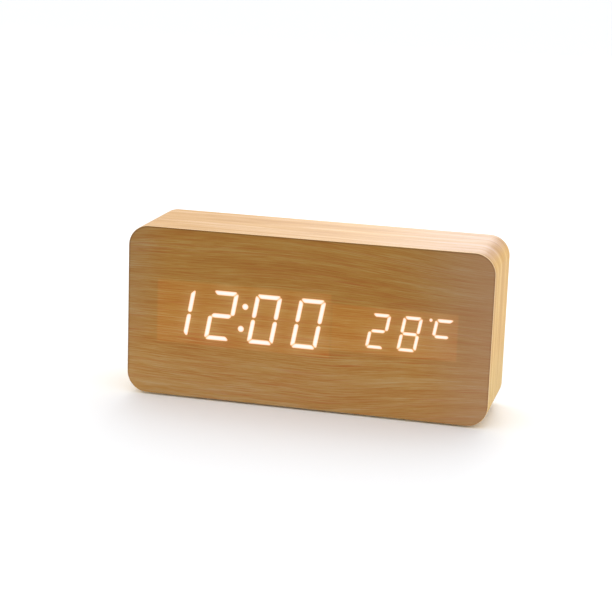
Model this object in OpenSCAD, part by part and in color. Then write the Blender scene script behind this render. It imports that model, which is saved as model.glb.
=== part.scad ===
// Wood-veneered LED alarm clock.
// A fibreboard block wrapped in veneer holds two LED displays that shine through the
// front veneer. A recessed plastic cover closes the back and carries the buttons, the
// power socket and the battery compartment with its swinging door.
// The front faces -Y, +Z is up, and the origin is the centre of the footprint.

/* [Case] */
// Overall width of the case
case_w = 150; // [149:0.5:160]
// Height of the case above its feet
case_h = 70; // [69:0.5:76]
// Overall depth of the case
case_d = 40; // [40:0.5:46]
// Radius of the four corners seen from the front
corner_r = 8.5; // [7:0.5:12]
// Thickness of the front and back veneers
veneer_t = 0.6; // [0.4:0.1:0.8]
// Thickness of the veneer wrapped round the edge
edge_t = 0.5; // [0.3:0.1:0.7]
// Thickness of the core behind the front veneer
front_wall = 2; // [1.5:0.1:2.5]
// Radius of a stick-on foot
foot_r = 4; // [3:0.5:5]
// Height of a stick-on foot
foot_h = 0.8; // [0.5:0.1:1.5]

/* [Displays] */
// Height of a time digit
time_digit_h = 20.6; // [18:0.1:21]
// Width of a time digit
time_digit_w = 10.8; // [9:0.1:12]
// Stroke of a time digit
time_stroke = 1.7; // [1.2:0.1:2.2]
// Distance between time digits
time_pitch = 18.05; // [17:0.05:18.2]
// Height of a temperature digit
temp_digit_h = 14.4; // [12:0.1:15]
// Width of a temperature digit
temp_digit_w = 7.7; // [7:0.1:8.5]
// Stroke of a temperature digit
temp_stroke = 1.25; // [0.9:0.05:1.6]
// Distance between temperature digits
temp_pitch = 12.72; // [12:0.02:12.8]
// Lean of the digits in degrees
slant = 10; // [0:1:12]
// Depth of a display housing
housing_d = 7; // [6:0.5:8]

/* [Controls] */
// Radius of a button's cap
button_r = 3.3; // [2.5:0.1:3.6]
// Travel of a button and the switch under it
button_travel = 0.35; // [0.2:0.05:0.4]
// Distance between buttons
button_pitch = 14; // [13:0.5:14]
// Radius of the power socket's bore
socket_r = 1.8; // [1.75:0.05:2.2]

/* [Battery] */
// Radius of a battery cell
cell_r = 5.25; // [5:0.05:5.25]
// Length of a battery cell with its nub
cell_l = 44.5; // [43.5:0.5:44.5]
// Distance between battery cells
cell_pitch = 11; // [10.6:0.1:11]
// Thickness of the battery door
door_t = 1.9; // [1.8:0.1:1.9]
// Radius of the door's hinge pins
hinge_pin_r = 0.5; // [0.4:0.05:0.5]

/* [Hidden] */
$fn = 48;
eps = 0.01;
// Sliding clearance between a moving piece and its guide
slip = 0.2;
// Running clearance round a hinge pin
running = 0.05;

// Case: the core sits between the front and back veneers, inside the edge veneer
zc = foot_h + case_h / 2;
front_y = -case_d / 2;
back_y = case_d / 2;
core_y = front_y + veneer_t;
core_w = case_w - 2 * edge_t;
core_h = case_h - 2 * edge_t;
core_r = corner_r - edge_t;
core_d = case_d - 2 * veneer_t;
floor_y = core_y + front_wall;
seam_w = 0.15;
foot_x = case_w / 2 - 17;
foot_y = case_d / 2 - 8;
foot_chamfer = 0.3;

// Pocket in the core, with a solid post left in each corner for the cover's screws
pocket_w = 132;
pocket_h = 54;
pocket_r = 3;
post = 8;
post_x = pocket_w / 2 - post / 2;
post_z = pocket_h / 2 - post / 2;

// Back cover, let into the back
cover_t = 2;
cover_drop = 1;
cover_y1 = back_y - cover_drop;
cover_y = cover_y1 - cover_t;
rebate_w = 138;
rebate_h = 60;
rebate_r = 4;
cover_screw_r = 1.25;
cover_screw_l = 10;
cover_head_r = 2.5;
cover_head_t = 1.6;
cover_sink = 0.9;

// Displays: [first digit's x, centre z, pitch, digit width, digit height, stroke]
TIME = [-53.2, 0.45, time_pitch, time_digit_w, time_digit_h, time_stroke];
TEMP = [16.9, 0.25, temp_pitch, temp_digit_w, temp_digit_h, temp_stroke];
DIGITS = 4;
ALL = "abcdefg";
TIME_LIT = ["bc", "abdeg", "abcdef", "abcdef"];
TEMP_LIT = ["", "abdeg", "abcdefg", "afg"];
time_box = [72.4, 26];
temp_box = [50.8, 19];
mitre_gap = 0.25;
lens_t = 2;
display_board_t = 1;
colon_r = 1.25;
colon_z = 4.65;
colon_x = display_x(TIME) + 0.1;
degree_r = 0.68;
degree_x = TEMP[0] + 3 * TEMP[2] - 4.5;
degree_z = 6.5;
die = [0.9, 0.4, 0.7];
die_y = core_y + housing_d - die.y;
pin_w = 0.5;
pin_l = 2.8;
pin_hole_r = 0.4;
PIN_COLUMNS = 6;
pin_pitch = 5.08;
pin_inset = 1.8;

// Main board behind the displays
board_t = 1.6;
board_y = core_y + housing_d + display_board_t;
board_back = board_y + board_t;
board_w = 130;
board_h = 50;
board_notch = [9.5, 8];
standoff_x = 48;
standoff_z = 20.5;
standoff_r = 3.5;
board_screw_r = 0.8;
board_screw_l = 5;
board_head_r = 1.8;
board_head_t = 1.2;
BOARD_SCREWS = [for (x = [-standoff_x, standoff_x], z = [-standoff_z, standoff_z]) [x, z]];

// Parts on the main board: each one's place in x and z, and its sizes
controller_at = [-27, 2];
controller_size = [18, 2.3, 7.4];
controller_leads = 14;
driver_at = [14, 5.5];
driver_size = [12.8, 2.3, 7.4];
driver_leads = 10;
chip_lead = [0.4, 0.3, 1.3];
chip_lead_pitch = 1.27;
chip_lead_root = 0.4;
chip_lift = 0.1;
crystal_at = [-15, 18];
crystal_r = 1;
crystal_l = 6;
buzzer_at = [-26, -18];
buzzer_r = 6;
buzzer_h = 9.5;
buzzer_port_r = 1;
buzzer_port_depth = 2;
microphone_at = [-38, -17];
microphone_r = 3;
microphone_h = 4.5;
microphone_face_r = 2;
microphone_face_depth = 0.5;
thermistor_at = [-15, -17];
bead_r = 1.2;
bead_h = 9;
bead_lead_r = 0.2;
coin_at = [6, -12.3];
coin_r = 10;
coin_h = 3.2;
coin_lip = 0.4;
coin_play = 0.1;
holder_wall = 1.2;
holder_floor = 0.8;
thumb_gap = [8, 5, 8];
thumb_gap_y = 1.4;
CAPACITORS = [[2, 16], [53, 4], [56, -12]];
capacitor_r = 3.15;
capacitor_h = 8;
resistor = [2, 0.5, 1.25];
resistor_at = [11, 18];
resistor_step = [3.4, -3];
resistor_grid = [6, 2];

// Switch and socket board, screwed to the cover
io_t = 1.2;
io_y1 = cover_y - 9;
io_y = io_y1 - io_t;
io_x = -54;
io_w = 44;
io_h = 16;
io_z = 1;
io_leg_w = 16;
io_leg_z = -20;
button_x = -46;
button_z = 9;
BUTTONS = [for (i = [0:2]) button_x + i * button_pitch];
switch_w = 6;
switch_h = 3.5;
switch_well = 1.9;
plunger_r = 1.75;
plunger_top = io_y1 + switch_h + 0.8;
plunger_l = 2.1;
stem_r = 1.5;
button_top = back_y - 0.2;
flange_y = cover_y - 1.4;
flange_t = 1.1;
flange_r = button_r + 0.9;
mark_t = 0.15;
mark_r = 1.3;
socket = [-46, -12];
socket_w = 7;
socket_nose_r = 2.9;
socket_floor = io_y1 + 2;
socket_pin_r = 0.65;
socket_mouth = cover_y1 - 0.2;
IO_SCREWS = [[-39, button_z], [-25, button_z], [-46, -2]];
boss_r = 2;
vent = [1.4, 14];
vent_pitch = 3.2;
vent_x = -33;
vent_z = -12;
VENTS = 6;

// Battery compartment in the cover: bay is its inner length and height
bay_x = 26;
bay_z = -1;
bay = [52, 4 * cell_pitch + 0.3];
bay_depth = 12;
bay_wall = 1.5;
seat_gap = 0.15;
recess = [56.4, 50.4];
recess_rim = 1.3;
seat_y = cover_y1 - door_t - seat_gap;
bay_floor = seat_y - bay_depth;
frame_y = cover_y - 1.9;
cell_y = bay_floor + 0.3 + cell_r;
nub_r = 1.9;
nub_l = 1;
contact_t = 0.4;
bump_t = 0.8;
contact_w = 9;
spring_r1 = 3.6;
spring_r2 = 2.4;
spring_wire = 0.25;
spring_turns = 5;
spring_l = bay.x - cell_l - 2 * contact_t - bump_t;
tab = [1.4, 0.4];
tab_l = 3;

// Battery door
door = [recess.x - 2 * slip, recess.y - 2 * slip];
barrel_r = door_t / 2;
hinge_y = cover_y1 - door_t / 2;
hinge_z = -recess.y / 2 + slip + barrel_r;
hinge_pin_l = 1.4;
latch_w = 9;
latch_slit = 0.6;
latch_slit_l = 6;
latch_tab_h = 2.6;
latch_tab_t = 1;
hook_reach = 1.5;
hook_t = 0.8;
hook_toe = [1, 1.2];
hook_z = door.y / 2 - 1.2;
slot_h = 2.5;
notch = [12, 4, 1.3];
notch_r = 1.5;
GRIP_RIBS = 5;
grip_rib = [14, 1, 0.3];
grip_pitch = 1.6;
grip_z = 10;
door_rib = [0.8, 0.5];
door_rib_span = [44, 38];
door_rib_pitch = [15, 13];

// Wires and cable
wire_r = 0.65;
cable_r = 0.45;
cable_pitch = 1;
plug = [7.6, 5.6, 6];
io_plug = [10, 5.6, 6];
plug_x = -10;
plug_z = 0;
io_plug_x = -46;
io_plug_z = -6;
tab_x = bay_x - bay.x / 2 - bay_wall - tab_l;
plug_y = board_back + plug.z;
io_plug_y = board_back + io_plug.z;
red_z = cell_z(3) - tab.y / 2 - wire_r;
black_z = cell_z(0) + tab.y / 2 + wire_r;
RED_ROUTE = [[tab_x + 1, cell_y, red_z], [tab_x - 3, cell_y - 1, red_z], [-12, 4, -14], [-12.5, 1, -6],
             [plug_x - 1.5, plug_y + 3, -1.3], [plug_x - 1.5, plug_y + 1.5, -1.3],
             [plug_x - 1.5, plug_y, -1.3]];
BLACK_ROUTE = [[tab_x + 1, cell_y, black_z], [tab_x - 2, cell_y - 1, black_z], [-7, 4, 12], [-8, 1, 6],
               [plug_x + 1.5, plug_y + 3, 1.3], [plug_x + 1.5, plug_y + 1.5, 1.3],
               [plug_x + 1.5, plug_y, 1.3]];
CABLE_ROUTE = [[0, io_y, -13], [0, io_y - 1.2, -13], [0, io_y - 2.4, -13], [0, 2, -10.5], [0, 0.2, -7.5],
               [0, io_plug_y + 2.4, io_plug_z], [0, io_plug_y + 1.2, io_plug_z], [0, io_plug_y, io_plug_z]];

// ---- Helpers ----

// Extrudes a profile drawn in x and z from y0 towards +Y
module slab(y0, t) {
    translate([0, y0 + t, zc]) rotate([90, 0, 0]) linear_extrude(t) children();
}

// Rounded rectangle
module rrect(w, h, r) {
    square([w - 2 * r, h], center = true);
    square([w, h - 2 * r], center = true);
    for (x = [-1, 1], z = [-1, 1])
        translate([x * (w / 2 - r), z * (h / 2 - r)]) circle(r);
}

// Round bar along Y, from y0 to y1
module rod(x, z, y0, y1, r) {
    translate([x, min(y0, y1), zc + z]) rotate([-90, 0, 0]) cylinder(r = r, h = abs(y1 - y0));
}

// Round bar along X, from x0 to x1
module bar(x0, x1, y, z, r) {
    translate([min(x0, x1), y, zc + z]) rotate([0, 90, 0]) cylinder(r = r, h = abs(x1 - x0));
}

// Block centred on x and z, standing on y0
module block(x, z, y0, size) {
    translate([x - size.x / 2, y0, zc + z - size.z / 2]) cube(size);
}

// Cross-head screw along Y: head outside at y0 + dir * head_t, shank the other way
module screw(x, z, y0, dir, shank_r, shank_l, head_r, head_t) {
    cross_w = head_r * 0.3;
    difference() {
        union() {
            rod(x, z, y0, y0 + dir * head_t, head_r);
            rod(x, z, y0, y0 - dir * shank_l, shank_r);
        }
        for (size = [[cross_w, head_t, head_r * 1.3], [head_r * 1.3, head_t, cross_w]])
            block(x, z, y0 + dir * head_t * 0.9 - head_t / 2, size);
    }
}

function unit(v) = v / norm(v);

// Point at t from 0 to 1 between b and c on a smooth curve through a, b, c and d
function between(a, b, c, d, t) =
    0.5 * (2 * b + (c - a) * t + (2 * a - 5 * b + 4 * c - d) * t * t
           + (3 * b - a - 3 * c + d) * t * t * t);

// Smooth curve through points, with n steps between neighbours
function smooth(p, n) = concat(
    [for (i = [0:len(p) - 2], j = [0:n - 1])
        between(p[max(i - 1, 0)], p[i], p[i + 1], p[min(i + 2, len(p) - 1)], j / n)],
    [p[len(p) - 1]]);

// Direction of a path at point i
function heading(p, i) = unit(p[min(i + 1, len(p) - 1)] - p[max(i - 1, 0)]);

// Closed tube along a path; side is a direction that the path never takes
module tube(p, r, sides, side) {
    n = len(p);
    points = [for (i = [0:n - 1])
        let (u = unit(cross(heading(p, i), side)), v = cross(heading(p, i), u))
        for (j = [0:sides - 1])
            p[i] + r * (u * cos(360 * j / sides) + v * sin(360 * j / sides))];
    walls = [for (i = [0:n - 2], j = [0:sides - 1])
        [i * sides + j, i * sides + (j + 1) % sides,
         (i + 1) * sides + (j + 1) % sides, (i + 1) * sides + j]];
    caps = [[for (j = [sides - 1:-1:0]) j], [for (j = [0:sides - 1]) (n - 1) * sides + j]];
    translate([0, 0, zc]) polyhedron(points, concat(walls, caps), convexity = 6);
}

// ---- Case ----

module case_core() color("#c8a878") difference() {
    union() {
        difference() {
            slab(core_y, core_d) rrect(core_w, core_h, core_r);
            slab(floor_y, core_d) difference() {
                rrect(pocket_w, pocket_h, pocket_r);
                for (x = [-1, 1], z = [-1, 1])
                    translate([x * post_x, z * post_z]) square(post + eps, center = true);
            }
            slab(cover_y, core_d) rrect(rebate_w, rebate_h, rebate_r);
            slab(core_y - 1, front_wall + 2) display_window();
        }
        for (p = BOARD_SCREWS) rod(p.x, p.y, floor_y - eps, board_y, standoff_r);
    }
    for (p = BOARD_SCREWS)
        rod(p.x, p.y, board_y - board_screw_l, board_y + 1, board_screw_r + running);
    for (x = [-1, 1], z = [-1, 1])
        rod(x * post_x, z * post_z, cover_y - cover_screw_l, cover_y + 1, cover_screw_r + running);
}

// Stepped window for both displays
module display_window() {
    translate([display_x(TIME), TIME[1]])
        square([time_box.x + 2 * slip, time_box.y + 2 * slip], center = true);
    translate([display_x(TEMP) - 1, TEMP[1]])
        square([temp_box.x + 2 + 2 * slip, temp_box.y + 2 * slip], center = true);
}

module front_veneer() color("#a8783c")
    slab(front_y, veneer_t) rrect(case_w, case_h, corner_r);

module edge_veneer() color("#e8c48c")
    slab(core_y, core_d) difference() {
        rrect(case_w, case_h, corner_r);
        rrect(core_w, core_h, core_r);
        translate([0, -case_h / 2]) square([seam_w, 4 * edge_t], center = true);
    }

module back_veneer() color("#c89858")
    slab(back_y - veneer_t, veneer_t) difference() {
        rrect(case_w, case_h, corner_r);
        rrect(rebate_w, rebate_h, rebate_r);
    }

module foot(x, y) color("#3a3a3c") translate([x * foot_x, y * foot_y, 0]) {
    cylinder(r1 = foot_r - foot_chamfer, r2 = foot_r, h = foot_chamfer);
    translate([0, 0, foot_chamfer]) cylinder(r = foot_r, h = foot_h - foot_chamfer);
}

// ---- Displays ----

// Middle of a display in x
function display_x(d) = d[0] + d[2] * (DIGITS - 1) / 2;

function flip_x(p) = [for (q = p) [-q.x, q.y]];
function flip_z(p) = [for (q = p) [q.x, -q.y]];
function lean(p) = [for (q = p) [q.x + q.y * tan(slant), q.y]];
function mean(p) = [for (i = [0, 1]) [for (q = p) q[i]] * [for (q = p) 1] / len(p)];

// Upright outlines of the top, upper left and middle segments; s is the stroke
function top_shape(w, h, s) = let (c = 0.55 * s, e = mitre_gap / sqrt(2))
    [[c - w, h], [w - c, h], [w - c / 2 - e, h - c / 2 + e], [w - s - 2 * e, h - s],
     [s + 2 * e - w, h - s], [c / 2 + e - w, h - c / 2 + e]];
function side_shape(w, h, s) = let (c = 0.55 * s, e = mitre_gap / sqrt(2))
    [[-w, h - c], [-w, 0.3 * s + 2 * e], [0.28 * s - w, 2 * e], [0.65 * s - w, 2 * e],
     [s - w, 0.35 * s + 2 * e], [s - w, h - s - 2 * e], [c / 2 - e - w, h - c / 2 - e]];
function middle_shape(w, s) = let (e = mitre_gap / sqrt(2))
    [[s / 2 + 2 * e - w, 0], [s + 2 * e - w, s / 2], [w - s - 2 * e, s / 2],
     [w - s / 2 - 2 * e, 0], [w - s - 2 * e, -s / 2], [s + 2 * e - w, -s / 2]];

// Outline of segment k of a digit of display d, centred on the digit
function segment(d, k) = let (w = d[3] / 2, h = d[4] / 2, s = d[5]) lean(
    k == "a" ? top_shape(w, h, s) :
    k == "b" ? flip_x(side_shape(w, h, s)) :
    k == "c" ? flip_x(flip_z(side_shape(w, h, s))) :
    k == "d" ? flip_z(top_shape(w, h, s)) :
    k == "e" ? flip_z(side_shape(w, h, s)) :
    k == "f" ? side_shape(w, h, s) : middle_shape(w, s));

// Segments of display d whose being lit or dark is as asked
module segments(d, lit_text, lit) {
    for (i = [0:DIGITS - 1], k = ALL)
        if ((len(search(k, lit_text[i])) > 0) == lit)
            translate([d[0] + i * d[2], d[1]]) polygon(segment(d, k));
}

module colon() {
    for (side = [-1, 1])
        translate([colon_x + side * colon_z * tan(slant), TIME[1] + side * colon_z]) circle(colon_r);
}

module degree() translate([degree_x, TEMP[1] + degree_z]) circle(degree_r);

module display_housing(d, box, text) difference() {
    slab(core_y, housing_d) translate([display_x(d), d[1]]) square(box, center = true);
    for (lit = [true, false])
        slab(core_y - 1, housing_d + 2) segments(d, text, lit);
    slab(core_y - 1, housing_d + 2) children();
}

module time_display_housing() color("#2a2a2c") display_housing(TIME, time_box, TIME_LIT) colon();
module temp_display_housing() color("#2a2a2c") display_housing(TEMP, temp_box, TEMP_LIT) degree();

module display_board(d, box) color("#3c6a3c")
    slab(core_y + housing_d, display_board_t)
        translate([display_x(d), d[1]]) square(box, center = true);

module time_segments_lit() color("#fff4e4") slab(core_y, lens_t) segments(TIME, TIME_LIT, true);
module temp_segments_lit() color("#fff4e4") slab(core_y, lens_t) segments(TEMP, TEMP_LIT, true);
module segments_dark() color("#d8d4cc") {
    slab(core_y, lens_t) segments(TIME, TIME_LIT, false);
    slab(core_y, lens_t) segments(TEMP, TEMP_LIT, false);
}
module time_colon() color("#fff4e4") slab(core_y, lens_t) colon();
module degree_dot() color("#fff4e4") slab(core_y, lens_t) degree();

// One light-emitting die at the bottom of each segment's cup
module led_dies() color("#f0d060") {
    for (d = [TIME, TEMP], i = [0:DIGITS - 1], k = ALL)
        let (m = mean(segment(d, k))) block(d[0] + i * d[2] + m.x, d[1] + m.y, die_y, die);
    for (side = [-1, 1])
        block(colon_x + side * colon_z * tan(slant), TIME[1] + side * colon_z, die_y, die);
    block(degree_x, TEMP[1] + degree_z, die_y, die);
}

// Places of a display's two rows of pins
function pin_places(d, box) = [for (i = [0:PIN_COLUMNS - 1], side = [-1, 1])
    [display_x(d) + (i - (PIN_COLUMNS - 1) / 2) * pin_pitch, d[1] + side * (box.y / 2 - pin_inset)]];
PINS = concat(pin_places(TIME, time_box), pin_places(TEMP, temp_box));

module display_pins() color("#c8c8cc")
    for (p = PINS) block(p.x, p.y, board_y, [pin_w, pin_l, pin_w]);

// ---- Main board and what it carries ----

module main_board() color("#2c6a44") difference() {
    slab(board_y, board_t) difference() {
        square([board_w, board_h], center = true);
        for (x = [-1, 1], z = [-1, 1])
            translate([x * board_w / 2, z * board_h / 2]) square(2 * board_notch, center = true);
    }
    for (p = PINS) rod(p.x, p.y, board_y - 1, board_back + 1, pin_hole_r);
    for (p = BOARD_SCREWS) rod(p.x, p.y, board_y - 1, board_back + 1, board_screw_r + running);
}

module main_board_screws() color("#b0b0b4")
    for (p = BOARD_SCREWS)
        screw(p.x, p.y, board_back, 1, board_screw_r, board_screw_l, board_head_r, board_head_t);

// Chip at p with gull-wing leads down both long sides
module chip(p, size, leads) {
    block(p.x, p.y, board_back + chip_lift, size);
    for (i = [0:leads - 1], side = [-1, 1])
        block(p.x + (i - (leads - 1) / 2) * chip_lead_pitch,
              p.y + side * (size.z + chip_lead.z - chip_lead_root) / 2, board_back, chip_lead);
}

module controller_chip() color("#242426") chip(controller_at, controller_size, controller_leads);
module driver_chip() color("#242426") chip(driver_at, driver_size, driver_leads);

module crystal() color("#d0d0d4")
    bar(crystal_at.x - crystal_l / 2, crystal_at.x + crystal_l / 2,
        board_back + crystal_r, crystal_at.y, crystal_r);

// Can of radius r and height h at p on the main board, with a round hollow in its top
module can(p, r, h, hollow_r, hollow_h) difference() {
    rod(p.x, p.y, board_back, board_back + h, r);
    rod(p.x, p.y, board_back + h - hollow_h, board_back + h + 1, hollow_r);
}

module buzzer() color("#1c1c1e")
    can(buzzer_at, buzzer_r, buzzer_h, buzzer_port_r, buzzer_port_depth);
module microphone() color("#c4c4c8")
    can(microphone_at, microphone_r, microphone_h, microphone_face_r, microphone_face_depth);

// Bead thermistor standing on two bare leads
module thermistor() color("#4c3424") {
    bead_y = board_back + bead_h;
    translate([thermistor_at.x, bead_y, zc + thermistor_at.y]) sphere(r = bead_r);
    for (side = [-1, 1])
        rod(thermistor_at.x + side * bead_r / 2, thermistor_at.y,
            board_back, bead_y - bead_r / 2, bead_lead_r);
}

module cell_holder() color("#222226") difference() {
    can(coin_at, coin_r + holder_wall, holder_floor + coin_h + coin_lip,
        coin_r + coin_play, coin_h + coin_lip);
    block(coin_at.x, coin_at.y + coin_r, board_back + thumb_gap_y, thumb_gap);
}

module backup_cell() color("#c8cace")
    rod(coin_at.x, coin_at.y, board_back + holder_floor, board_back + holder_floor + coin_h, coin_r);

module capacitors() color("#2c3450")
    for (p = CAPACITORS) rod(p.x, p.y, board_back, board_back + capacitor_h, capacitor_r);

module chip_resistors() color("#303034")
    for (i = [0:resistor_grid.x - 1], j = [0:resistor_grid.y - 1])
        block(resistor_at.x + i * resistor_step.x, resistor_at.y + j * resistor_step.y,
              board_back, resistor);

// Wire-to-board connector with its plug
module connector(x, z, size) block(x, z, board_back, [size.x, size.z, size.y]);

module battery_connector() color("#ece6d4") connector(plug_x, plug_z, plug);
module io_connector() color("#ece6d4") connector(io_plug_x, io_plug_z, io_plug);

module red_wire() color("#c02020") tube(smooth(RED_ROUTE, 4), wire_r, 8, [1, 0, 0.3]);
module black_wire() color("#202020") tube(smooth(BLACK_ROUTE, 4), wire_r, 8, [1, 0, -0.3]);

module io_cable() color("#8c8c90")
    for (i = [-2:2])
        translate([io_plug_x + i * cable_pitch, 0, 0])
            tube(smooth(CABLE_ROUTE, 3), cable_r, 8, [1, 0, 0]);

// ---- Switches, buttons and socket ----

module io_board() color("#2c6a44") difference() {
    slab(io_y, io_t) {
        translate([io_x, io_z]) square([io_w, io_h]);
        translate([io_x, io_leg_z]) square([io_leg_w, io_z - io_leg_z + eps]);
    }
    for (p = IO_SCREWS) rod(p.x, p.y, io_y - 1, io_y1 + 1, board_screw_r + running);
}

module io_board_screws() color("#b0b0b4")
    for (p = IO_SCREWS)
        screw(p.x, p.y, io_y, -1, board_screw_r, board_screw_l + 1, board_head_r, board_head_t);

module switch_body(i) color("#303034") difference() {
    block(BUTTONS[i], button_z, io_y1, [switch_w, switch_h, switch_w]);
    rod(BUTTONS[i], button_z, io_y1 + switch_h - switch_well, io_y1 + switch_h + 1, plunger_r + running);
}

module plunger(i) color("#e0dcd0")
    rod(BUTTONS[i], button_z, plunger_top - plunger_l, plunger_top, plunger_r);

// Push button with a stem onto its switch, a retaining flange and a raised mark
module button(i) color("#3c3c40") {
    rod(BUTTONS[i], button_z, plunger_top, flange_y, stem_r);
    rod(BUTTONS[i], button_z, flange_y, flange_y + flange_t, flange_r);
    rod(BUTTONS[i], button_z, flange_y + flange_t, button_top, button_r);
    slab(button_top, mark_t) translate([BUTTONS[i], button_z]) children();
}

// Triangle that points up, or down with dir -1
module arrow(dir)
    polygon([[-mark_r, -0.7 * mark_r * dir], [mark_r, -0.7 * mark_r * dir], [0, mark_r * dir]]);

module set_button() button(0) difference() {
    circle(mark_r);
    circle(0.6 * mark_r);
}
module up_button() button(1) arrow(1);
module down_button() button(2) arrow(-1);

module dc_socket() color("#1c1c1e") difference() {
    union() {
        block(socket.x, socket.y, io_y1, [socket_w, cover_y - 0.1 - io_y1, socket_w]);
        rod(socket.x, socket.y, cover_y - 0.2, socket_mouth, socket_nose_r);
    }
    rod(socket.x, socket.y, socket_floor, socket_mouth + 1, socket_r);
}

module dc_socket_pin() color("#d0b060")
    rod(socket.x, socket.y, socket_floor, socket_mouth - 1, socket_pin_r);

// ---- Back cover ----

module back_cover() color("#202022") difference() {
    union() {
        slab(cover_y, cover_t) rrect(rebate_w - 2 * slip, rebate_h - 2 * slip, rebate_r - slip);
        slab(frame_y, cover_y - frame_y + eps) translate([bay_x, 0])
            square([recess.x + 2 * recess_rim, recess.y + 2 * recess_rim], center = true);
        slab(bay_floor - bay_wall, frame_y - bay_floor + bay_wall + eps) translate([bay_x, bay_z])
            square([bay.x + 2 * bay_wall, bay.y + 2 * bay_wall], center = true);
        for (p = IO_SCREWS) rod(p.x, p.y, io_y1, cover_y + eps, boss_r);
    }
    slab(seat_y, cover_t + 2) translate([bay_x, 0]) square(recess, center = true);
    slab(bay_floor, bay_depth + 1) translate([bay_x, bay_z]) square(bay, center = true);
    hinge_holes();
    latch_slot();
    terminal_slots();
    cover_holes();
}

// Bar that leaves a blind hole for a hinge pin in each side wall of the recess
module hinge_holes() {
    reach = recess.x / 2 + hinge_pin_l + slip;
    bar(bay_x - reach, bay_x + reach, hinge_y, hinge_z, hinge_pin_r + running);
}

// Slot for the latch's hook, and the thumb notch outside it
module latch_slot() {
    slab(frame_y - 1, cover_t + 3) translate([bay_x, hook_z])
        square([latch_w + 2, slot_h], center = true);
    slab(cover_y1 - notch.z, notch.z + 1) translate([bay_x, recess.y / 2 + notch.y / 2 - 1])
        rrect(notch.x, notch.y + 2, notch_r);
}

// Slots in the bay's end wall for the two terminals' tabs
module terminal_slots() {
    for (i = [0, 3])
        block(bay_x - (bay.x + bay_wall) / 2, cell_z(i), cell_y - tab.x / 2 - running,
              [bay_wall + 1, tab.x + 2 * running, tab.y + 2 * running]);
}

module cover_holes() {
    for (x = [-1, 1], z = [-1, 1]) {
        rod(x * post_x, z * post_z, cover_y - 1, back_y, cover_screw_r + slip);
        rod(x * post_x, z * post_z, cover_y1 - cover_sink, back_y, cover_head_r + slip);
    }
    for (x = BUTTONS) rod(x, button_z, cover_y - 1, back_y, button_r + slip);
    rod(socket.x, socket.y, cover_y - 1, back_y, socket_nose_r + slip);
    for (p = IO_SCREWS) rod(p.x, p.y, io_y1 - 1, cover_y - 1, board_screw_r + running);
    for (i = [0:VENTS - 1])
        slab(cover_y - 1, cover_t + 2) translate([vent_x + i * vent_pitch, vent_z])
            square(vent, center = true);
}

module cover_screws() color("#8c8c90")
    for (x = [-1, 1], z = [-1, 1])
        screw(x * post_x, z * post_z, cover_y1 - cover_sink, 1,
              cover_screw_r, cover_screw_l, cover_head_r, cover_head_t);

// ---- Battery door ----

// Door with a round lower edge that turns on two pins
module battery_door() color("#262628") {
    difference() {
        slab(cover_y1 - door_t, door_t) translate([bay_x, 0]) difference() {
            translate([-door.x / 2, hinge_z]) square([door.x, door.y / 2 - hinge_z]);
            for (side = [-1, 1])
                translate([side * (latch_w + latch_slit) / 2, (door.y - latch_slit_l) / 2])
                    square([latch_slit, latch_slit_l + eps], center = true);
        }
        for (i = [0:GRIP_RIBS - 1])
            slab(cover_y1 - grip_rib.z, 1) translate([bay_x, grip_z + i * grip_pitch])
                square([grip_rib.x, grip_rib.y], center = true);
    }
    bar(bay_x - door.x / 2, bay_x + door.x / 2, hinge_y, hinge_z, barrel_r);
    bar(bay_x - door.x / 2 - hinge_pin_l, bay_x + door.x / 2 + hinge_pin_l,
        hinge_y, hinge_z, hinge_pin_r);
    door_ribs();
    latch();
}

// Lattice of shallow ribs that stiffens the door's inner face
module door_ribs()
    slab(cover_y1 - door_t - door_rib.y, door_rib.y + eps) translate([bay_x, bay_z])
        for (i = [-1:1]) {
            translate([i * door_rib_pitch.x, 0])
                square([door_rib.x, door_rib_span.y], center = true);
            translate([0, i * door_rib_pitch.y])
                square([door_rib_span.x, door_rib.x], center = true);
        }

// Finger tab above the door's edge, and the hook below it that reaches through the cover's slot
module latch() {
    hook_tip = frame_y - hook_reach;
    slab(cover_y1 - latch_tab_t, latch_tab_t) translate([bay_x, (door.y + latch_tab_h) / 2])
        square([latch_w, latch_tab_h + eps], center = true);
    slab(hook_tip, cover_y1 - door_t - hook_tip + eps) translate([bay_x, hook_z])
        square([latch_w, hook_t], center = true);
    slab(hook_tip, hook_toe.y) translate([bay_x, hook_z + hook_toe.x / 2])
        square([latch_w, hook_toe.x], center = true);
}

// ---- Battery ----

// Height of cell i, from the top, and the way its nub points
function cell_z(i) = bay_z + (1.5 - i) * cell_pitch;
function cell_dir(i) = i % 2 == 0 ? 1 : -1;

module battery_cell(i) color("#34506f") {
    nub_end = bay_x + cell_dir(i) * (bay.x / 2 - contact_t - bump_t);
    flat_end = nub_end - cell_dir(i) * cell_l;
    bar(flat_end, nub_end - cell_dir(i) * nub_l, cell_y, cell_z(i), cell_r);
    bar(flat_end, nub_end, cell_y, cell_z(i), nub_r);
}

// Contact plate at one end of the bay, -1 or 1, across cells i to j, with a bump facing each nub
module contact(end, i, j) {
    face_x = bay_x + end * (bay.x / 2 - contact_t);
    h = contact_w + abs(cell_z(i) - cell_z(j));
    block(face_x + end * contact_t / 2, (cell_z(i) + cell_z(j)) / 2, cell_y - contact_w / 2,
          [contact_t, contact_w, h]);
    for (k = i == j ? [i] : [i, j])
        if (cell_dir(k) == end)
            bar(face_x + end * eps, face_x - end * bump_t, cell_y, cell_z(k), nub_r);
}

module terminal_contacts() color("#ccccd0")
    for (i = [0, 3]) {
        contact(-1, i, i);
        block(tab_x + (tab_l + bay_wall + eps) / 2, cell_z(i), cell_y - tab.x / 2,
              [tab_l + bay_wall + eps, tab.x, tab.y]);
    }

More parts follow.
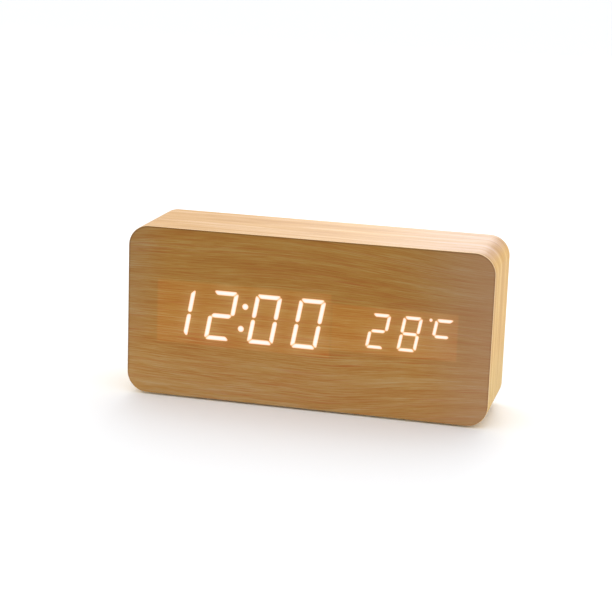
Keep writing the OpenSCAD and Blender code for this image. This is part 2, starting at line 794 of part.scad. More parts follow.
module bridge_contacts() color("#ccccd0") {
    contact(1, 0, 1);
    contact(-1, 1, 2);
    contact(1, 2, 3);
}

// Conical coil at the flat end of each cell
module contact_springs() color("#ccccd0")
    for (i = [0:3]) {
        start = bay_x - cell_dir(i) * (bay.x / 2 - contact_t - spring_wire);
        run = cell_dir(i) * (spring_l - 2 * spring_wire);
        tube([for (k = [0:spring_turns * 10])
                let (t = k / (spring_turns * 10), r = spring_r1 + (spring_r2 - spring_r1) * t)
                [start + run * t, cell_y + r * cos(36 * k), cell_z(i) + r * sin(36 * k)]],
             spring_wire, 6, [1, 0, 0]);
    }

case_core();
front_veneer();
edge_veneer();
back_veneer();
foot(-1, -1);  // foot_front_left
foot(1, -1);  // foot_front_right
foot(-1, 1);  // foot_rear_left
foot(1, 1);  // foot_rear_right
time_display_housing();
temp_display_housing();
display_board(TIME, time_box);  // time_display_board
display_board(TEMP, temp_box);  // temp_display_board
time_segments_lit();
temp_segments_lit();
segments_dark();
time_colon();
degree_dot();
led_dies();
display_pins();
main_board();
main_board_screws();
controller_chip();
driver_chip();
crystal();
buzzer();
microphone();
thermistor();
cell_holder();
backup_cell();
capacitors();
chip_resistors();
battery_connector();
io_connector();
red_wire();
black_wire();
io_cable();
io_board();
io_board_screws();
switch_body(0);  // set_switch
switch_body(1);  // up_switch
switch_body(2);  // down_switch
plunger(0);  // set_plunger
plunger(1);  // up_plunger
plunger(2);  // down_plunger
set_button();
up_button();
down_button();
dc_socket();
dc_socket_pin();
back_cover();
cover_screws();
battery_door();
terminal_contacts();
bridge_contacts();
contact_springs();
battery_cell(0);  // battery_cell_1
battery_cell(1);  // battery_cell_2
battery_cell(2);  // battery_cell_3
battery_cell(3);  // battery_cell_4
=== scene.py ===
"""Looks of the wood-veneered LED alarm clock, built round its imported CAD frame.

Lengths are in metres in the CAD's own frame: +X to the right of the display, -Y out of it, +Z up.
Materials measure in millimetres, because grain, tracks and texture are small.
"""

import math

import bpy
import numpy as np
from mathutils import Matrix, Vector
from mathutils.geometry import delaunay_2d_cdt


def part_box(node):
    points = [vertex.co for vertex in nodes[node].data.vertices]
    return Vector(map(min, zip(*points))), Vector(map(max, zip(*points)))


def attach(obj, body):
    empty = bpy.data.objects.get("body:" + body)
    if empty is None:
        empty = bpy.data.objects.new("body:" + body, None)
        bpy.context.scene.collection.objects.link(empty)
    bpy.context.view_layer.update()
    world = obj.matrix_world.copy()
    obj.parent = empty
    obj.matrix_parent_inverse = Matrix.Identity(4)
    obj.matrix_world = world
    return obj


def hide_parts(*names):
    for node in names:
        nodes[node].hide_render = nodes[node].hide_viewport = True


MM = 0.001
CASE = "clock"

# The case's shape that the frame's boxes don't give; the opening is a width, height and radius
CORNER_R = 8.5 * MM
EDGE_T = 0.5 * MM
OPENING = (138 * MM, 60 * MM, 4 * MM)
SEAM = 0.15 * MM

# Roundings of the veneers' edges, the opening's lip and the moulded parts' edges
CORNER_STEPS = 24
EDGE_ROUND = 0.45 * MM
ROUND_STEPS = 6
LIP = 0.15 * MM
MOULD_ROUND = 0.15 * MM
SHARP = math.radians(35)

# How deep the ink lies on the buttons' raised marks
INK_DEPTH = 0.12 * MM

# Distance between the boards' tracks, in mm
TRACK_PITCH = 1.27

# A battery cell's sleeve, in mm from the tip of the nub, and the length of its print
SLEEVE_START = 1.5
SLEEVE_END = 44.0
PRINT_LENGTH = 45

# Half the floor's width
FLOOR_REACH = 20

# Spacing of the front sheet's points, how far the closer ones reach, and their gap to its border, in mm
FINE_PITCH = 0.2
PANEL_PITCH = 0.8
WIDE_PITCH = 5.0
FINE_REACH = 0.8
PANEL_REACH = 6.0
NEAR_MARGIN = 1.6
WIDE_MARGIN = 3.0

# Loops of points just inside the front's border
GUIDE_INSETS = (0.8 * MM, 1.3 * MM)

# How far the veneer spreads the display's light, as a bright core and a halo, in mm
CORE_BLUR = 0.32
HALO_BLUR = 2.4

# Pitch of the map that the light is worked out on, and its margin round the lenses, in mm
MAP_PITCH = 0.1
MAP_MARGIN = 10.0

# Nodes that light up, the displays' housings, and the buttons
LIT = ("time_segments_lit", "temp_segments_lit", "time_colon", "degree_dot")
DISPLAYS = ("time_display_housing", "temp_display_housing")
KEYS = ("set_button", "up_button", "down_button")

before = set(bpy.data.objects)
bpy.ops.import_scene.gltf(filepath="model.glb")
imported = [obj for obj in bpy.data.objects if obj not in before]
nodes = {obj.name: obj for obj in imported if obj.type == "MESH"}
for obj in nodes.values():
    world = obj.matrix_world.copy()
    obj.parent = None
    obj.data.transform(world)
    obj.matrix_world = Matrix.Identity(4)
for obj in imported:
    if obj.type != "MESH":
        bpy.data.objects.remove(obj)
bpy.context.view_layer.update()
scene = bpy.context.scene

front_low, front_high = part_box("front_veneer")
case_w = front_high.x - front_low.x
case_h = front_high.z - front_low.z
middle_z = (front_high.z + front_low.z) / 2
front_y = front_low.y


# ---- Camera, floor and light ----


def add_camera():
    """Long lens a little right of and above the clock, tilted by two degrees."""
    data = bpy.data.cameras.new("camera")
    data.lens = 105.97
    data.sensor_width = 36
    data.clip_start = 0.01
    data.clip_end = 100
    camera = bpy.data.objects.new("camera", data)
    scene.collection.objects.link(camera)
    camera.location = (0.1635, -0.6991, 0.2126)
    camera.rotation_euler = [math.radians(angle) for angle in (76.39, -2.0, 14.03)]
    scene.camera = camera


def add_softbox(name, location, target, size, power):
    """Rectangular area light that faces its target."""
    data = bpy.data.lights.new(name, "AREA")
    data.shape = "RECTANGLE"
    data.size, data.size_y = size
    data.energy = power
    light = bpy.data.objects.new(name, data)
    scene.collection.objects.link(light)
    light.location = location
    light.rotation_euler = (Vector(target) - Vector(location)).to_track_quat("-Z", "Y").to_euler()


def add_world(brightness):
    """Plain white surroundings."""
    world = bpy.data.worlds.new("studio")
    scene.world = world
    world.use_nodes = True
    background = world.node_tree.nodes["Background"]
    background.inputs["Color"].default_value = (1, 1, 1, 1)
    background.inputs["Strength"].default_value = brightness


def add_floor():
    """Plain pale floor."""
    reach = FLOOR_REACH
    mesh = bpy.data.meshes.new("floor")
    mesh.from_pydata(
        [(-reach, -reach, 0), (reach, -reach, 0), (reach, reach, 0), (-reach, reach, 0)],
        [],
        [(0, 1, 2, 3)],
    )
    floor = bpy.data.objects.new("floor", mesh)
    scene.collection.objects.link(floor)
    look = Look("floor", Roughness=0.6, Specular_IOR_Level=0.2, Base_Color=(0.945, 0.96, 0.98, 1))
    mesh.materials.append(look.material)


# ---- Materials ----


def paint(code):
    """Linear colour from a hexadecimal one."""
    parts = [int(code[i : i + 2], 16) / 255 for i in (0, 2, 4)]
    return [c / 12.92 if c <= 0.04045 else ((c + 0.055) / 1.055) ** 2.4 for c in parts] + [1]


def shade(code, factor, lift=0.0):
    """Linear colour from a hexadecimal one, made darker or paler."""
    return [min(c * factor + lift, 1) for c in paint(code)[:3]] + [1]


class Look:
    """A procedural material being wired up. Most methods add a node and return its output."""

    def __init__(self, name, **values):
        self.material = bpy.data.materials.new(name)
        self.material.use_nodes = True
        self.tree = self.material.node_tree
        self.shader = self.tree.nodes["Principled BSDF"]
        for socket, value in values.items():
            self.shader.inputs[socket.replace("_", " ")].default_value = value

    def add(self, kind, inputs=None, **settings):
        """Node of a kind, with its inputs fed or set and its other settings made."""
        node = self.tree.nodes.new(kind)
        for key, value in settings.items():
            setattr(node, key, value)
        for key, value in (inputs or {}).items():
            if isinstance(value, bpy.types.NodeSocket):
                self.tree.links.new(value, node.inputs[key])
            else:
                node.inputs[key].default_value = value
        return node

    def feed(self, socket, output):
        """Links an output to one of the shader's sockets."""
        self.tree.links.new(output, self.shader.inputs[socket])

    def place(self):
        """Position in the CAD frame, in mm."""
        coordinates = self.add("ShaderNodeTexCoord").outputs["Object"]
        scaled = self.add("ShaderNodeVectorMath", {0: coordinates, "Scale": 1000}, operation="SCALE")
        return scaled.outputs["Vector"]

    def stretch(self, vector, scale):
        node = self.add("ShaderNodeVectorMath", {0: vector, 1: scale}, operation="MULTIPLY")
        return node.outputs["Vector"]

    def split(self, vector):
        return self.add("ShaderNodeSeparateXYZ", {0: vector}).outputs

    def join(self, x=0.0, y=0.0, z=0.0):
        return self.add("ShaderNodeCombineXYZ", {0: x, 1: y, 2: z}).outputs[0]

    def stored(self, name):
        """Number that the mesh keeps for each point."""
        return self.add("ShaderNodeAttribute", attribute_name=name).outputs["Fac"]

    def noise(self, vector, scale=1.0, detail=2.0, roughness=0.5, distortion=0.0):
        inputs = {
            "Vector": vector,
            "Scale": scale,
            "Detail": detail,
            "Roughness": roughness,
            "Distortion": distortion,
        }
        return self.add("ShaderNodeTexNoise", inputs).outputs[0]

    def cells(self, vector, scale):
        """Distance to the middle of the nearest of many small cells."""
        return self.add("ShaderNodeTexVoronoi", {"Vector": vector, "Scale": scale}).outputs["Distance"]

    def calc(self, operation, a, b=0.0, c=0.0):
        inputs = {0: a, 1: b, 2: c}
        return self.add("ShaderNodeMath", inputs, operation=operation).outputs[0]

    def times(self, a, b):
        return self.calc("MULTIPLY", a, b)

    def minus(self, a, b):
        return self.calc("SUBTRACT", a, b)

    def larger(self, a, b):
        return self.calc("MAXIMUM", a, b)

    def step(self, value, low, high, start=0.0, end=1.0):
        """Smooth step of value from low to high."""
        inputs = {"Value": value, 1: low, 2: high, 3: start, 4: end}
        node = self.add("ShaderNodeMapRange", inputs, interpolation_type="SMOOTHSTEP")
        return node.outputs[0]

    def ramp(self, factor, stops):
        """Colour at factor, from (place, hexadecimal colour) stops."""
        node = self.add("ShaderNodeValToRGB", {0: factor})
        elements = node.color_ramp.elements
        while len(elements) < len(stops):
            elements.new(0.5)
        for element, (spot, code) in zip(elements, stops):
            element.position = spot
            element.color = paint(code)
        return node.outputs[0]

    def mix(self, factor, a, b, kind="MIX"):
        """Colour b over a."""
        node = self.add("ShaderNodeMix", data_type="RGBA", blend_type=kind)
        for key, value in ((0, factor), (6, a), (7, b)):
            if isinstance(value, bpy.types.NodeSocket):
                self.tree.links.new(value, node.inputs[key])
            else:
                node.inputs[key].default_value = value
        return node.outputs[2]

    def bump(self, height, depth, strength=1.0):
        """Relief of depth mm where height runs from 0 to 1."""
        inputs = {"Height": height, "Distance": depth * MM, "Strength": strength}
        self.feed("Normal", self.add("ShaderNodeBump", inputs).outputs[0])


def grain(look, along, across, palette, dark, amount=0.5, broad=0.4):
    """Wood figure, long in one direction and fine in the other, both in mm: its colour and height.

    Broad is the share of wide bands in its tone; the rest is fine fibre.
    """
    drift = look.noise(look.join(look.times(along, 0.009), look.times(across, 0.02)), detail=1)
    bent = look.calc("MULTIPLY_ADD", drift, 7.0, across)

    def streaks(per_mm, across_per_mm, start, **settings):
        """Noise drawn out along the grain; each start gives other streaks."""
        place = look.join(look.times(along, per_mm), look.times(bent, across_per_mm), start)
        return look.noise(place, **settings)

    bands = streaks(0.011, 0.22, 0.0, detail=3, roughness=0.6)
    fibre = streaks(0.07, 2.2, 3.0, detail=3, roughness=0.7)
    tone = look.calc("MULTIPLY_ADD", fibre, 1 - broad, look.times(bands, broad))
    colour = look.ramp(look.step(tone, 0.32, 0.68), palette)
    growth = look.calc("ABSOLUTE", look.minus(streaks(0.008, 0.5, 6.0, detail=2), 0.5))
    growth = look.times(look.step(growth, 0.0, 0.035, 1.0, 0.0), bands)
    dashes = look.step(streaks(0.035, 1.7, 9.0, detail=2, roughness=0.6), 0.54, 0.66)
    dashes = look.times(dashes, look.step(streaks(0.02, 0.1, 15.0, detail=1), 0.35, 0.65))
    lines = look.larger(growth, dashes)
    colour = look.mix(look.times(lines, amount), colour, paint(dark))
    pores = look.step(streaks(0.3, 6.0, 12.0, detail=1), 0.64, 0.74)
    colour = look.mix(look.times(pores, 0.25), colour, paint(dark))
    height = look.minus(fibre, look.times(look.calc("ADD", pores, lines), 0.35))
    return colour, height


def painted_front_light(look, colour, x, z):
    """The front's broad changes of colour, which are painted sheen, light and shade, and the dark line by
    its border, partly its joint and partly painted shade.
    """
    # Painted sheen: a whitish veil towards the right end, low down and towards the left end
    painted_sheen = look.larger(look.step(x, 25, 78), look.step(z, 6, 42, 0.65, 0.0))
    painted_sheen = look.larger(painted_sheen, look.step(x, -78, -55, 0.8, 0.0))
    colour = look.mix(painted_sheen, colour, [0.95, 1.12, 2.3, 1], "MULTIPLY")
    # Painted light and shade: paler towards the bottom, darker towards the top
    colour = look.mix(1.0, colour, look.step(z, 2, 66, 1.2, 0.92), "MULTIPLY")
    # Painted sheen: a pinkish tan veil over the right end, which lowers the grain's contrast
    colour = look.mix(look.step(x, 42, 80, 0.0, 0.5), colour, paint("a37a5c"))
    # Dark line by the border, partly the veneer's joint and partly painted shade; it fades out at the
    # bottom and is weaker at the right end
    border = look.step(look.stored("border"), 0.3, 1.1, 0.45, 0.0)
    border = look.times(border, look.step(z, 2, 12))
    border = look.times(border, look.step(x, 66, 74, 1.0, 0.4))
    return look.mix(border, colour, paint("5e3c1c"))


def front_glow(look):
    """Light of the display through the veneer: bright segments, their halo and the lit panel."""
    core = [
        (0.0, "000000"),
        (0.2, "1e1208"),
        (0.42, "9e7656"),
        (0.6, "eccebe"),
        (0.8, "f4dadc"),
        (1.0, "f6e2f0"),
    ]
    glow = look.ramp(look.stored("core"), core)
    halo = look.mix(look.stored("halo"), paint("000000"), paint("78745a"))
    panel = look.step(look.stored("panel"), -0.6, 0.6, 1.0, 0.0)
    panel = look.mix(panel, paint("000000"), paint("451c00"))
    return look.mix(1.0, look.mix(1.0, glow, halo, "ADD"), panel, "ADD")


def front_wood():
    """Front veneer: grain along X, painted sheen, light and shade, a dark line by the border that is
    partly painted shade, and light that reaches through it.
    """
    look = Look("front_wood", Roughness=0.5, Specular_IOR_Level=0.2)
    x, _, z = look.split(look.place())
    closing = look.step(x, 0, 85, 1.0, 1.28)
    across = look.times(look.minus(z, middle_z / MM), closing)
    # Darker than the edge veneer's palette, partly the wood's own tone and partly painted shade for a
    # face that gets less light than the top and sides
    palette = [(0.0, "965e1e"), (0.35, "9e6e2a"), (0.65, "a37734"), (1.0, "a88446")]
    colour, height = grain(look, x, across, palette, "984c18", 0.6)
    look.feed("Base Color", painted_front_light(look, colour, x, z))
    look.feed("Emission Color", front_glow(look))
    look.shader.inputs["Emission Strength"].default_value = 1.0
    look.bump(height, 0.03, 0.5)
    return look.material


def edge_wood():
    """Pale veneer with its grain along the band, from each point's length along it; its paleness beside
    the front is partly its own tone and partly painted light.
    """
    look = Look("edge_wood", Roughness=0.48, Specular_IOR_Level=0.3)
    x, y, z = look.split(look.place())
    # Paler than the front's palette, partly the wood's own tone and partly painted light
    palette = [(0.0, "cd963e"), (0.35, "d8a54b"), (0.65, "e3b45e"), (1.0, "efca7c")]
    along = look.stored("along")
    colour, height = grain(look, along, look.times(y, 1.2), palette, "b0702e", 0.6, 0.6)
    # Painted sheen: the top less yellow at both ends and a little darker in its middle, and the sides
    # paler low down
    top = look.step(z, 65, 70.5)
    painted_sheen_tints = (
        (top, (0.93, 0.95, 1.65, 1)),
        (look.times(top, look.step(x, -30, 20)), (0.91, 0.85, 0.64, 1)),
        (look.times(top, look.step(x, 10, 65)), (0.97, 1.06, 1.9, 1)),
        (look.step(z, 14, 34, 1.0, 0.0), (1.0, 1.14, 1.5, 1)),
    )
    for share, tint in painted_sheen_tints:
        colour = look.mix(share, colour, tint, "MULTIPLY")
    look.feed("Base Color", colour)
    look.bump(height, 0.03, 0.5)
    return look.material


def rim_wood():
    """Sanded end of the face veneers, paler than their faces."""
    look = Look("rim_wood", Roughness=0.45, Specular_IOR_Level=0.3)
    _, y, _ = look.split(look.place())
    palette = [(0.0, "ecc48c"), (1.0, "fadfb8")]
    colour, height = grain(look, look.stored("along"), look.times(y, 3), palette, "cf9a5c", 0.3)
    look.feed("Base Color", colour)
    look.bump(height, 0.02, 0.5)
    return look.material


def back_wood():
    """Back veneer, like the front's but unlit."""
    look = Look("back_wood", Roughness=0.5, Specular_IOR_Level=0.2)
    x, _, z = look.split(look.place())
    palette = [(0.0, "a06c38"), (0.35, "b07e44"), (0.65, "ba8c52"), (1.0, "c59a64")]
    colour, height = grain(look, look.calc("ADD", x, 310), z, palette, "8a5828", 0.45)
    look.feed("Base Color", colour)
    look.bump(height, 0.03, 0.5)
    return look.material


def fibreboard():
    """Pressed fibres: a fine felted brown with darker specks."""
    look = Look("fibreboard", Roughness=0.85, Specular_IOR_Level=0.2)
    place = look.place()
    felt = look.noise(look.stretch(place, (2.2, 5.5, 2.2)), detail=4, roughness=0.7, distortion=0.6)
    cloud = look.noise(place, scale=0.12, detail=2)
    tone = look.calc("MULTIPLY_ADD", cloud, 0.4, look.times(felt, 0.6))
    colour = look.ramp(tone, [(0.3, "7d5d3c"), (0.5, "98754d"), (0.7, "b18e62")])
    specks = look.step(look.noise(place, scale=4.5, detail=1), 0.66, 0.74)
    look.feed("Base Color", look.mix(look.times(specks, 0.4), colour, paint("5b4128")))
    look.bump(felt, 0.08)
    return look.material


def moulded(look, code, rough, texture):
    """Gives a look a spark-eroded texture, faint cloudiness and light rubbing; returns its colour."""
    place = look.place()
    pits = look.noise(place, scale=2.6, detail=3, roughness=0.6)
    cloud = look.noise(place, scale=0.09, detail=3)
    colour = look.mix(look.step(cloud, 0.35, 0.65), shade(code, 0.9), shade(code, 1.1, 0.001))
    wear = look.calc("MULTIPLY_ADD", cloud, 0.1, rough - 0.05)
    look.feed("Roughness", look.calc("MULTIPLY_ADD", pits, 0.12, look.minus(wear, 0.06)))
    look.bump(pits, texture)
    return colour


def plastic(name, code, rough=0.5, texture=0.02):
    """Moulded plastic of one colour."""
    look = Look(name, Specular_IOR_Level=0.4)
    look.feed("Base Color", moulded(look, code, rough, texture))
    return look.material


def printed_plastic(name, code, ink, ink_y):
    """Moulded plastic whose raised marks, behind ink_y, carry a paler ink that is a little rubbed off."""
    look = Look(name, Specular_IOR_Level=0.4)
    base = moulded(look, code, 0.42, 0.012)
    place = look.place()
    _, y, _ = look.split(place)
    rubbed = look.step(look.noise(place, scale=3.5, detail=2), 0.3, 0.42)
    inked = look.times(look.step(y, ink_y, ink_y + 0.02), rubbed)
    look.feed("Base Color", look.mix(inked, base, paint(ink)))
    return look.material


def rubber(name, code):
    """Soft foam rubber: matt, with fine open cells."""
    look = Look(name, Roughness=0.85, Specular_IOR_Level=0.2)
    place = look.place()
    pores = look.cells(place, scale=3.2)
    cloud = look.noise(place, scale=0.6, detail=2)
    look.feed("Base Color", look.mix(look.step(cloud, 0.3, 0.7), shade(code, 0.7), paint(code)))
    look.bump(pores, 0.05)
    return look.material


def metal(name, code, rough=0.3):
    """Plated metal with fine drawn scratches and a little tarnish."""
    look = Look(name, Metallic=1.0)
    place = look.place()
    scratches = look.noise(look.stretch(place, (0.4, 8, 0.4)), detail=3, roughness=0.65)
    tarnish = look.noise(place, scale=0.5, detail=4)
    dulled = look.step(tarnish, 0.45, 0.75, 0.0, 0.7)
    look.feed("Base Color", look.mix(dulled, paint(code), shade(code, 0.62)))
    look.feed("Roughness", look.calc("MULTIPLY_ADD", scratches, 0.25, rough - 0.1))
    look.bump(scratches, 0.006)
    return look.material


def circuit_board(name, code):
    """Solder mask over copper: raised tracks along parts of rows and columns, and tinned pads."""
    look = Look(name, Specular_IOR_Level=0.5)
    x, _, z = look.split(look.place())

    def lane(value):
        """Number of the lane that a value falls in, and its distance from the lane's middle."""
        cell = look.calc("DIVIDE", value, TRACK_PITCH)
        off_middle = look.calc("ABSOLUTE", look.minus(look.calc("FRACT", cell), 0.5))
        return look.calc("FLOOR", cell), off_middle

    def chosen(a, b, start=0.0):
        """Noise that settles which stretches have copper; each start settles others."""
        return look.noise(look.join(a, b, start), detail=0)

    column, from_column = lane(x)
    row, from_row = lane(z)
    row_copper = look.step(chosen(look.times(x, 0.06), look.times(row, 3.7)), 0.5, 0.51)
    column_copper = look.step(chosen(look.times(column, 3.7), look.times(z, 0.06), 5), 0.55, 0.56)
    along_x = look.times(look.step(from_row, 0.13, 0.17, 1, 0), row_copper)
    along_z = look.times(look.step(from_column, 0.13, 0.17, 1, 0), column_copper)
    track = look.larger(along_x, along_z)
    squares = look.calc("ADD", look.calc("POWER", from_column, 2), look.calc("POWER", from_row, 2))
    round_pad = look.step(look.calc("SQRT", squares), 0.2, 0.24, 1, 0)
    pad_copper = look.step(chosen(look.times(column, 1.7), look.times(row, 1.7), 9), 0.66, 0.67)
    pad = look.times(round_pad, pad_copper)
    colour = look.mix(track, shade(code, 0.75), shade(code, 1.7, 0.01))
    look.feed("Base Color", look.mix(pad, colour, paint("c9c6b8")))
    look.feed("Metallic", pad)
    look.feed("Roughness", look.calc("MULTIPLY_ADD", look.noise(look.place(), scale=0.8), 0.2, 0.25))
    look.bump(look.larger(track, pad), 0.04)
    return look.material


def lens(name, code, glow=None):
    """Milky cast resin; a lit one also glows."""
    look = Look(name, Roughness=0.25, Specular_IOR_Level=0.5)
    haze = look.noise(look.place(), scale=1.3, detail=3)
    look.feed("Base Color", look.mix(haze, paint(code), shade(code, 1.08)))
    if glow:
        look.feed("Emission Color", look.mix(haze, paint(glow), [1, 1, 1, 1]))
        look.shader.inputs["Emission Strength"].default_value = 1.0
    look.bump(haze, 0.01)
    return look.material


def cell_sleeve(name, nub_x, heading):
    """Printed sleeve of a battery cell with bare steel ends.

    Its nub's tip is at nub_x, and it points along X with heading 1 or against it with -1.
    """
    look = Look(name, Specular_IOR_Level=0.5)
    place = look.place()
    x, y, z = look.split(place)
    depth = look.times(look.minus(nub_x / MM, x), heading)
    wavy = look.calc("MULTIPLY_ADD", look.noise(look.join(0.0, y, z), scale=0.05, detail=1), 0.6, depth)
    stops = [(0.0, "b9bcc2"), (0.1, "b9bcc2"), (0.11, "2f4a6b"), (1.0, "28405e")]
    colour = look.ramp(look.calc("DIVIDE", wavy, PRINT_LENGTH), stops)
    bare_nub = look.step(depth, SLEEVE_START, SLEEVE_START + 0.1, 1, 0)
    bare_base = look.step(depth, SLEEVE_END, SLEEVE_END + 0.1)
    bare = look.larger(bare_nub, bare_base)
    look.feed("Base Color", look.mix(bare, colour, paint("b9b9b6")))
    look.feed("Metallic", bare)
    scuffs = look.noise(look.stretch(place, (0.6, 3, 3)), detail=4, roughness=0.7)
    look.feed("Roughness", look.calc("MULTIPLY_ADD", scuffs, 0.3, 0.12))
    look.bump(scuffs, 0.01)
    return look.material


# ---- Meshes ----


def outline(width, height, radius):
    """Rounded rectangle round the case's middle, as (x, z), anticlockwise from its lower right."""
    points = []
    for side_x, side_z, start in ((1, -1, -90), (1, 1, 0), (-1, 1, 90), (-1, -1, 180)):
        for k in range(CORNER_STEPS + 1):
            angle = math.radians(start + 90 * k / CORNER_STEPS)
            x = side_x * (width / 2 - radius) + radius * math.cos(angle)
            z = middle_z + side_z * (height / 2 - radius) + radius * math.sin(angle)
            points.append((x, z))
    return points


def case_outline(inset=0.0):
    """The case's outline, moved inwards by inset."""
    return outline(case_w - 2 * inset, case_h - 2 * inset, CORNER_R - inset)


def add_piece(name, vertices, faces, looks, slot, *stands_for):
    """New piece of the case that stands for CAD nodes; its slot argument, the record's material slot, is
    not used.
    """
    mesh = bpy.data.meshes.new(name)
    mesh.from_pydata(vertices, [], faces)
    mesh.update()
    for look in looks:
        mesh.materials.append(look)
    piece = bpy.data.objects.new(name, mesh)
    scene.collection.objects.link(piece)
    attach(piece, CASE)
    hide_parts(*stands_for)
    return piece


def store(piece, name, values):
    """Keeps one number for each point of the piece, for its material."""
    layer = piece.data.attributes.new(name, "FLOAT", "POINT")
    layer.data.foreach_set("value", np.asarray(values, np.float32))


def strip_faces(loops, closed=True):
    """Quads between neighbouring loops of equal length, given as lists of point numbers."""
    faces = []
    for low, high in zip(loops, loops[1:]):
        count = len(low)
        for i in range(count if closed else count - 1):
            j = (i + 1) % count
            faces.append((low[i], low[j], high[j], high[i]))
    return faces


def lengths_along(points):
    """Length along a path of (x, z) points up to each one, in mm."""
    steps = [math.dist(a, b) / MM for a, b in zip(points, points[1:])]
    return np.concatenate([[0], np.cumsum(steps)])


def rim_levels(inner_y, outer_y):
    """(inset, y) pairs that round an edge over from a side at inner_y to a face at outer_y."""
    way = 1 if outer_y > inner_y else -1
    levels = [(0.0, inner_y)]
    for k in range(ROUND_STEPS + 1):
        angle = math.radians(90 * k / ROUND_STEPS)
        y = outer_y - way * EDGE_ROUND * (1 - math.sin(angle))
        levels.append((EDGE_ROUND * (1 - math.cos(angle)), y))
    return levels


def lit_edges(node):
    """Outline of a lens node's front face: an array of directed (start, end) pairs of (x, z), in mm.

    An edge between two faces is taken in both directions, so it drops out.
    """
    mesh = nodes[node].data
    face_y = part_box(node)[0].y
    kept = {}
    for face in mesh.polygons:
        corners = [mesh.vertices[i].co for i in face.vertices]
        if any(abs(c.y - face_y) > 1e-6 for c in corners):
            continue
        ring = [(round(c.x / MM, 4), round(c.z / MM, 4)) for c in corners]
        for a, b in zip(ring, ring[1:] + ring[:1]):
            if (b, a) in kept:
                del kept[b, a]
            else:
                kept[a, b] = True
    return np.array([[a, b] for a, b in kept])


def outline_distance(points, edges):
    """Distance in mm from each (x, z) point to an outline."""
    start, way = edges[:, 0], edges[:, 1] - edges[:, 0]
    length2 = (way**2).sum(1)
    gaps = []
    for part in np.array_split(points, len(points) // 2000 + 1):
        offset = part[:, None] - start
        share = np.clip((offset * way).sum(2) / length2, 0, 1)
        gaps.append(np.linalg.norm(offset - share[..., None] * way, axis=2).min(1))
    return np.concatenate(gaps)


def lens_map(edges, low, rows, columns):
    """Map with 1 where a lens is and 0 elsewhere, from its low corner up and rightwards."""
    centres = low[0] + (np.arange(columns) + 0.5) * MAP_PITCH
    cover = np.zeros((rows, columns))
    (ax, az), (bx, bz) = edges[:, 0].T, edges[:, 1].T
    for row in range(rows):
        z = low[1] + (row + 0.5) * MAP_PITCH
        cut = (az > z) != (bz > z)
        crossings = np.sort(ax[cut] + (z - az[cut]) * (bx[cut] - ax[cut]) / (bz[cut] - az[cut]))
        cover[row] = np.searchsorted(crossings, centres) % 2
    return cover


def blurred_light(edges, points, blur):
    """Share of the lenses' light at each (x, z) point in mm, once the veneer has spread it."""
    low = edges.min((0, 1)) - MAP_MARGIN
    columns, rows = np.ceil((edges.max((0, 1)) + MAP_MARGIN - low) / MAP_PITCH).astype(int)
    cover = lens_map(edges, low, rows, columns)
    waves = np.hypot(np.fft.fftfreq(rows)[:, None], np.fft.rfftfreq(columns)) / MAP_PITCH
    spread = np.fft.irfft2(np.fft.rfft2(cover) * np.exp(-2 * (math.pi * blur * waves) ** 2), cover.shape)
    place = (points - low) / MAP_PITCH - 0.5
    place = np.clip(place, 0, [columns - 1.001, rows - 1.001])
    (i, j), (u, v) = place.astype(int).T, (place % 1).T
    near = spread[j, i] * (1 - u) + spread[j, i + 1] * u
    far = spread[j + 1, i] * (1 - u) + spread[j + 1, i + 1] * u
    return near * (1 - v) + far * v


def box_distance(points, low, high):
    """Distance in mm from each (x, z) point to a box, negative inside it."""
    middle = np.array([low.x + high.x, low.z + high.z]) / 2 / MM
    half = np.array([high.x - low.x, high.z - low.z]) / 2 / MM
    over = np.abs(points - middle) - half
    return np.linalg.norm(np.maximum(over, 0), axis=1) + np.minimum(over.max(1), 0)


def border_distance(points):
    """Distance in mm from each (x, z) point inwards to the case's outline."""
    half = np.array([case_w, case_h]) / 2 / MM - CORNER_R / MM
    over = np.abs(points - np.array([0, middle_z / MM])) - half
    outside = np.linalg.norm(np.maximum(over, 0), axis=1) + np.minimum(over.max(1), 0)
    return CORNER_R / MM - outside


def grid(pitch, margin):
    """Points in mm on a square grid over the front, margin inside its outline."""
    across = np.arange(-case_w / 2 / MM, case_w / 2 / MM, pitch)
    up = np.arange(0, (case_h + front_low.z) / MM, pitch)
    points = np.stack(np.meshgrid(across, up), -1).reshape(-1, 2)
    return points[border_distance(points) > margin]


def panel_distance(points):
    """Distance in mm from each (x, z) point to the nearer display, negative inside it."""
    return np.min([box_distance(points, *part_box(node)) for node in DISPLAYS], axis=0)


def sheet_points(edges):
    """Points in mm inside the front's border, closest where light comes through."""
    guides = [np.array(case_outline(inset)) / MM for inset in GUIDE_INSETS]
    fine = grid(FINE_PITCH, NEAR_MARGIN)
    fine = fine[panel_distance(fine) < 0]
    fine = fine[outline_distance(fine, edges) < FINE_REACH]
    medium = grid(PANEL_PITCH, NEAR_MARGIN)
    medium = medium[panel_distance(medium) < PANEL_REACH]
    medium = medium[outline_distance(medium, edges) > FINE_REACH]
    wide = grid(WIDE_PITCH, WIDE_MARGIN)
    wide = wide[panel_distance(wide) > PANEL_REACH]
    return np.concatenate([*guides, fine, medium, wide])


def fill_front(vertices, border, points):
    """Triangles inside the border loop, through the points, which are added to the vertices."""
    ring = np.array([(vertices[i][0], vertices[i][2]) for i in border]) / MM
    flat = [Vector(p) for p in np.concatenate([ring, points])]
    sides = [(i, (i + 1) % len(ring)) for i in range(len(ring))]
    spots, _, triangles, origins, _, _ = delaunay_2d_cdt(flat, sides, [], 0, 1e-5)
    number = []
    for spot, sources in zip(spots, origins):
        on_border = [s for s in sources if s < len(ring)]
        if on_border:
            number.append(border[on_border[0]])
        else:
            number.append(len(vertices))
            vertices.append((spot.x * MM, front_y, spot.y * MM))
    return [tuple(number[i] for i in triangle) for triangle in triangles]


